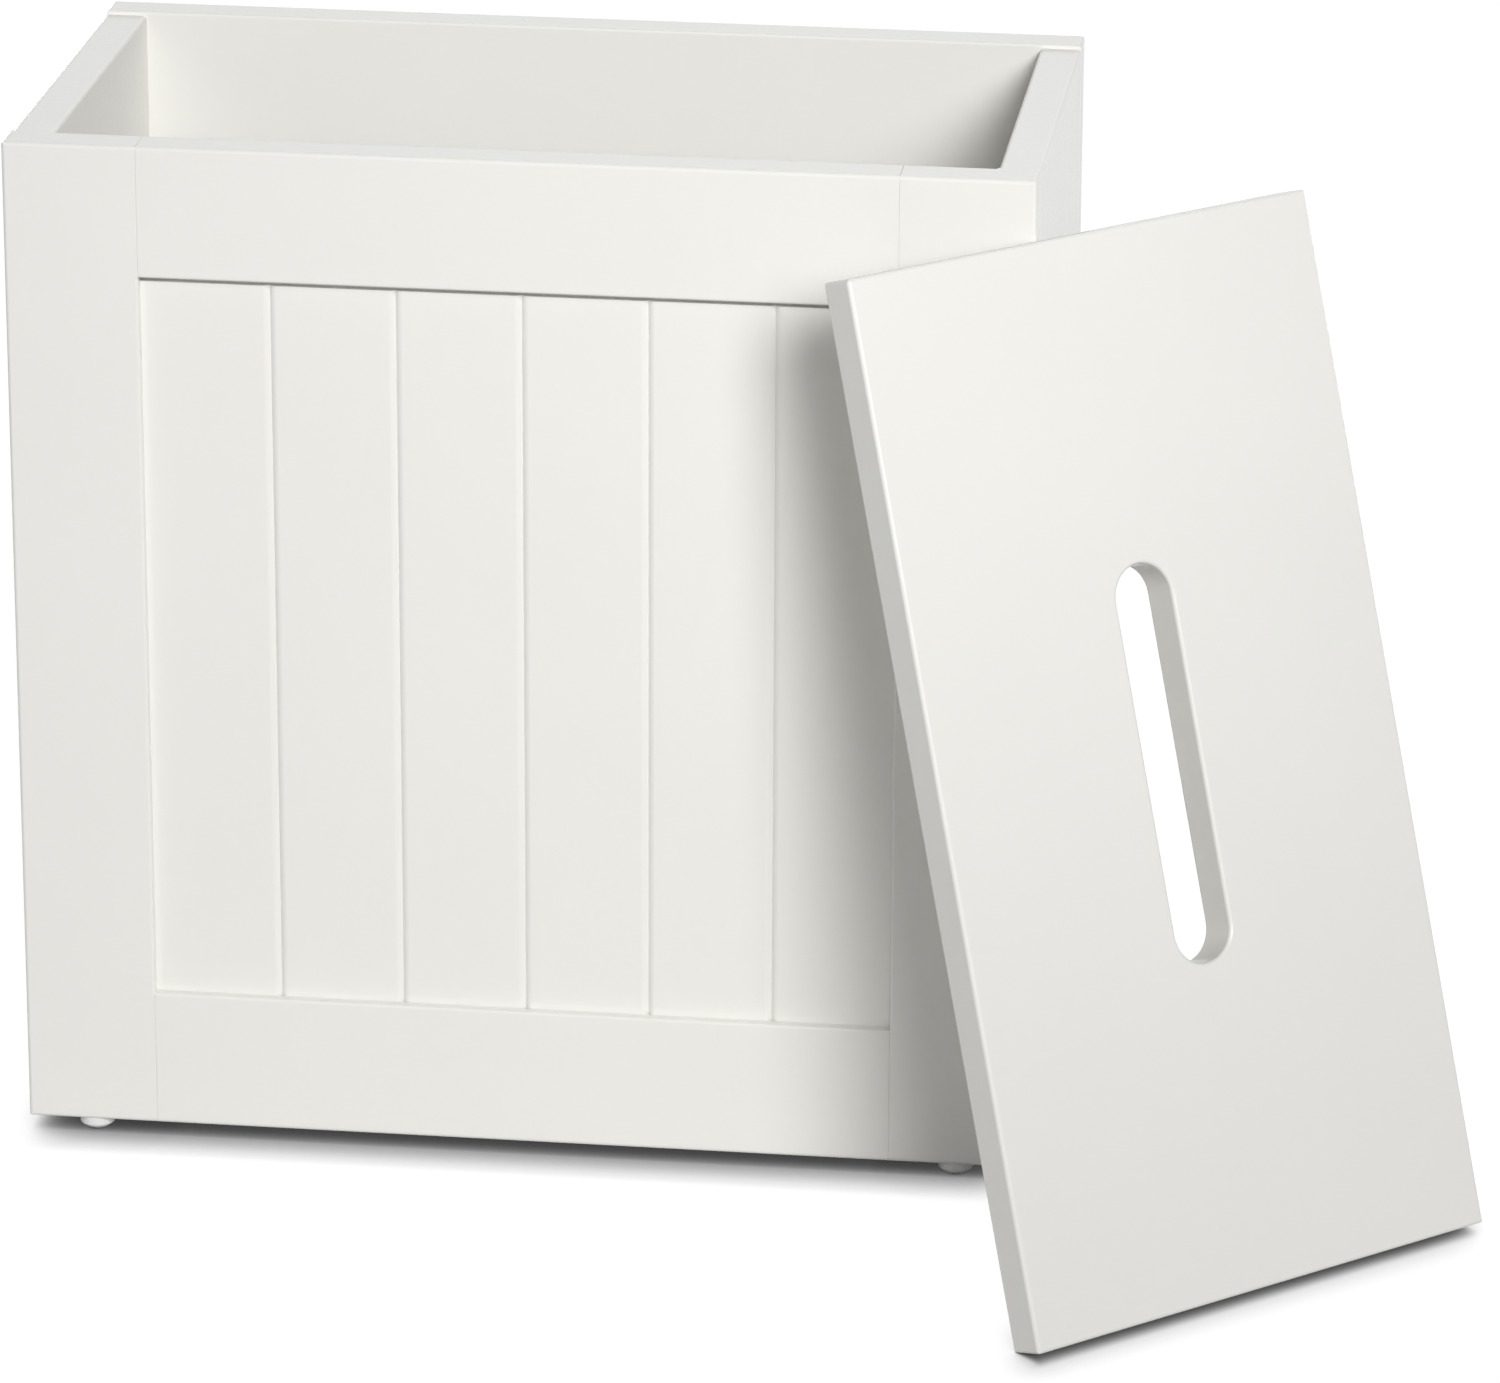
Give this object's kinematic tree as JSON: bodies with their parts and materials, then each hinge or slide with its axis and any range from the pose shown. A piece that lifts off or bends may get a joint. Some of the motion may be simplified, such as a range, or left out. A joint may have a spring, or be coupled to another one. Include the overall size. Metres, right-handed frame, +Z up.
{
  "type": "toilet roll storage cabinet",
  "caption": "Painted wooden storage cabinet with an open top, a grooved panel front in a raised frame, small glides and a lift-off lid with a hand slot.",
  "frame": {"origin": "in the middle of the cabinet's flat underside, 4.2 mm above the floor that its glides stand on", "axes": "+Z up, -Y out of the grooved front, +Y out of the back, +X to the right of someone facing the front"},
  "size_m": [0.4449, 0.2973, 0.3137],
  "materials": {
    "white_paint": "satin white paint over fibreboard",
    "white_plastic": "moulded",
    "zinc_steel": "zinc plated",
    "beech": "bare, fluted"
  },
  "bodies": {
    "cabinet": {"left_side_board": "white_paint", "right_side_board": "white_paint", "back_board": "white_paint", "base_board": "white_paint", "left_stile": "white_paint", "right_stile": "white_paint", "top_rail": "white_paint", "bottom_rail": "white_paint", "front_panel": "white_paint", "front_left_glide": "white_plastic", "front_right_glide": "white_plastic", "rear_left_glide": "white_plastic", "rear_right_glide": "white_plastic", "glide_nails": "zinc_steel", "frame_dowels": "beech", "side_dowels": "beech", "base_dowels": "beech", "back_screws": "zinc_steel"},
    "lid": {"lid_board": "white_paint", "lid_front_batten": "white_paint", "lid_rear_batten": "white_paint", "batten_screws": "zinc_steel"}
  },
  "joints": [
    {"name": "lid_lift", "type": "slide", "parent": "cabinet", "child": "lid", "axis": [0, 0, 1], "range_m": [0, 0.35]}
  ]
}
